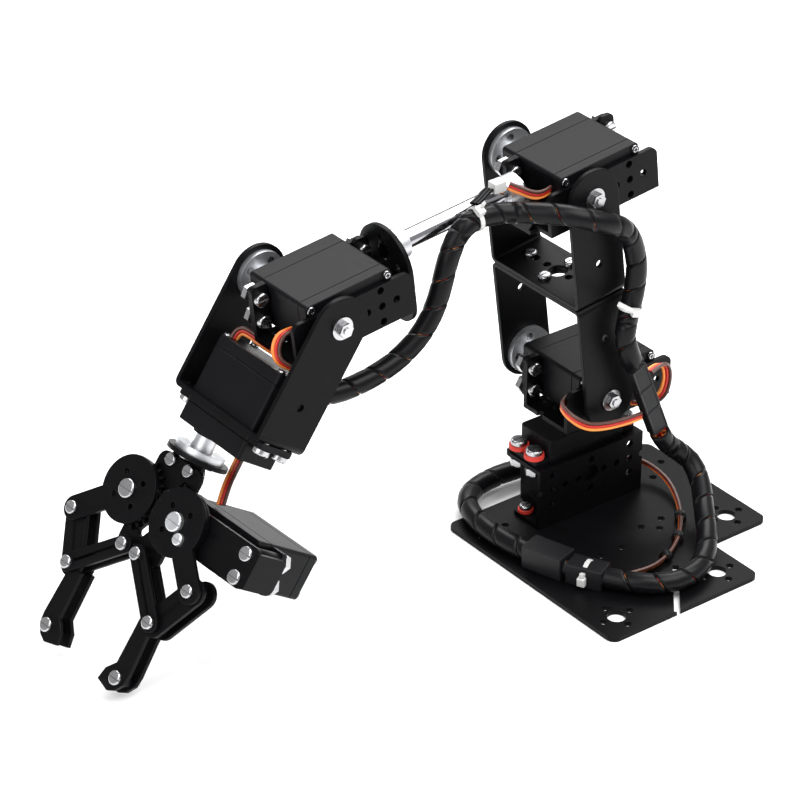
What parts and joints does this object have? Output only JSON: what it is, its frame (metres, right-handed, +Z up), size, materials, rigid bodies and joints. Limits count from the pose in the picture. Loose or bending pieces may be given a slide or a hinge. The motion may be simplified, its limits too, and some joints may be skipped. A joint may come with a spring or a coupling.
{
  "type": "desktop servo robot arm",
  "caption": "Black desktop robot arm: turning base, bracket upper arm, tube forearm, wrist and roll servos, and a geared parallel-link claw, with wrapped wiring.",
  "frame": {"origin": "on the turret's turning axis, at the underside of the base plate", "axes": "+X the way the arm reaches, +Y towards the bearing side of the hinges, +Z up; -Z is the outward normal of the base underside and X is the longest extent"},
  "size_m": [0.2977, 0.15, 0.1723],
  "materials": {
    "black_sheet": "satin black anodised sheet",
    "servo_plastic": "fine-grained black moulded plastic",
    "servo_drive": "motor can and gears",
    "horn_metal": "bare machined aluminium",
    "fastener": "bright plated steel",
    "fibre_red": "red fibre washer",
    "tube_metal": "polished steel tube",
    "wire_wrap": "black spiral wrap over the leads"
  },
  "bodies": {
    "base": {"base_plate": "black_sheet", "yaw_bracket": "black_sheet", "yaw_servo_case": "servo_plastic", "yaw_servo_drive": "servo_drive", "base_screws": "fastener", "red_washers": "fibre_red", "base_wiring": "wire_wrap", "yaw_loop": "wire_wrap"},
    "turret": {"yaw_horn": "horn_metal", "shoulder_bracket": "black_sheet", "shoulder_servo_case": "servo_plastic", "shoulder_servo_drive": "servo_drive", "turret_screws": "fastener", "shoulder_axle": "fastener", "turret_wiring": "wire_wrap", "shoulder_loop": "wire_wrap"},
    "upper_arm": {"shoulder_horn": "horn_metal", "lower_link": "black_sheet", "upper_link": "black_sheet", "link_screws": "fastener", "link_bearings": "fastener", "elbow_horn": "horn_metal", "upper_arm_wiring": "wire_wrap", "elbow_loop": "wire_wrap"},
    "forearm": {"elbow_bracket": "black_sheet", "elbow_servo_case": "servo_plastic", "elbow_servo_drive": "servo_drive", "forearm_axles": "fastener", "elbow_flange": "black_sheet", "forearm_tube": "tube_metal", "tube_hubs": "horn_metal", "wrist_flange": "black_sheet", "wrist_bracket": "black_sheet", "wrist_servo_case": "servo_plastic", "wrist_servo_drive": "servo_drive", "forearm_screws": "fastener", "forearm_wiring": "wire_wrap", "wrist_loop": "wire_wrap"},
    "wrist": {"wrist_horn": "horn_metal", "wrist_yoke": "black_sheet", "wrist_bearing": "fastener", "roll_servo_case": "servo_plastic", "roll_servo_drive": "servo_drive", "yoke_screws": "fastener", "claw_lead": "wire_wrap"},
    "claw_base": {"roll_horn": "horn_metal", "claw_mount": "black_sheet", "claw_frame": "black_sheet", "claw_servo_case": "servo_plastic", "claw_servo_drive": "servo_drive", "claw_screws": "fastener"},
    "right_drive": {"claw_horn": "horn_metal", "right_drive_arm": "black_sheet"},
    "left_drive": {"left_drive_arm": "black_sheet"},
    "right_link": {"right_rocker": "black_sheet"},
    "left_link": {"left_rocker": "black_sheet"},
    "right_jaw": {"right_finger": "black_sheet", "right_finger_screws": "fastener"},
    "left_jaw": {"left_finger": "black_sheet", "left_finger_screws": "fastener"}
  },
  "joints": [
    {"name": "yaw", "type": "hinge", "parent": "base", "child": "turret", "pos_m": [0, 0, 0.0475], "axis": [0, 0, 1], "range_deg": [-90, 90], "deforming": ["yaw_loop"]},
    {"name": "shoulder", "type": "hinge", "parent": "turret", "child": "upper_arm", "pos_m": [0.0102, -0.0045, 0.06085], "axis": [0, 1, 0], "range_deg": [-60, 20], "deforming": ["shoulder_loop"]},
    {"name": "elbow", "type": "hinge", "parent": "upper_arm", "child": "forearm", "pos_m": [0.0226, -0.0045, 0.15766], "axis": [0, 1, 0], "range_deg": [-90, 10], "deforming": ["elbow_loop"]},
    {"name": "wrist", "type": "hinge", "parent": "forearm", "child": "wrist", "pos_m": [0.14711, -0.0045, 0.14096], "axis": [0, 1, 0], "range_deg": [-90, 10], "deforming": ["wrist_loop"]},
    {"name": "roll", "type": "hinge", "parent": "wrist", "child": "claw_base", "pos_m": [0.14711, -0.01465, 0.14096], "axis": [0.5736, 0, -0.8192], "range_deg": [-90, 90], "deforming": ["claw_lead"]},
    {"name": "claw", "type": "hinge", "parent": "claw_base", "child": "right_drive", "pos_m": [0.20173, -0.00004, 0.06018], "axis": [0.8144, 0.108, 0.5702], "range_deg": [-27, 15]},
    {"name": "left_gear", "type": "hinge", "parent": "claw_base", "child": "left_drive", "pos_m": [0.20433, -0.02926, 0.062], "axis": [0.8144, 0.108, 0.5702], "range_deg": [-15, 27]},
    {"name": "right_rocker_hinge", "type": "hinge", "parent": "claw_base", "child": "right_link", "pos_m": [0.21367, -0.01038, 0.0451], "axis": [0.8144, 0.108, 0.5702], "range_deg": [-27, 15]},
    {"name": "left_rocker_hinge", "type": "hinge", "parent": "claw_base", "child": "left_link", "pos_m": [0.21443, -0.01893, 0.04563], "axis": [0.8144, 0.108, 0.5702], "range_deg": [-15, 27]},
    {"name": "right_jaw_hinge", "type": "hinge", "parent": "right_drive", "child": "right_jaw", "pos_m": [0.21089, 0.02124, 0.04307], "axis": [0.8144, 0.108, 0.5702], "range_deg": [-15, 27]},
    {"name": "left_jaw_hinge", "type": "hinge", "parent": "left_drive", "child": "left_jaw", "pos_m": [0.21728, -0.05054, 0.04754], "axis": [0.8144, 0.108, 0.5702], "range_deg": [-27, 15]}
  ],
  "couplings": [
    {"joint": "left_gear", "follows": "claw", "ratio": -1},
    {"joint": "right_rocker_hinge", "follows": "claw", "ratio": 1},
    {"joint": "left_rocker_hinge", "follows": "claw", "ratio": -1},
    {"joint": "right_jaw_hinge", "follows": "claw", "ratio": -1},
    {"joint": "left_jaw_hinge", "follows": "claw", "ratio": 1}
  ]
}
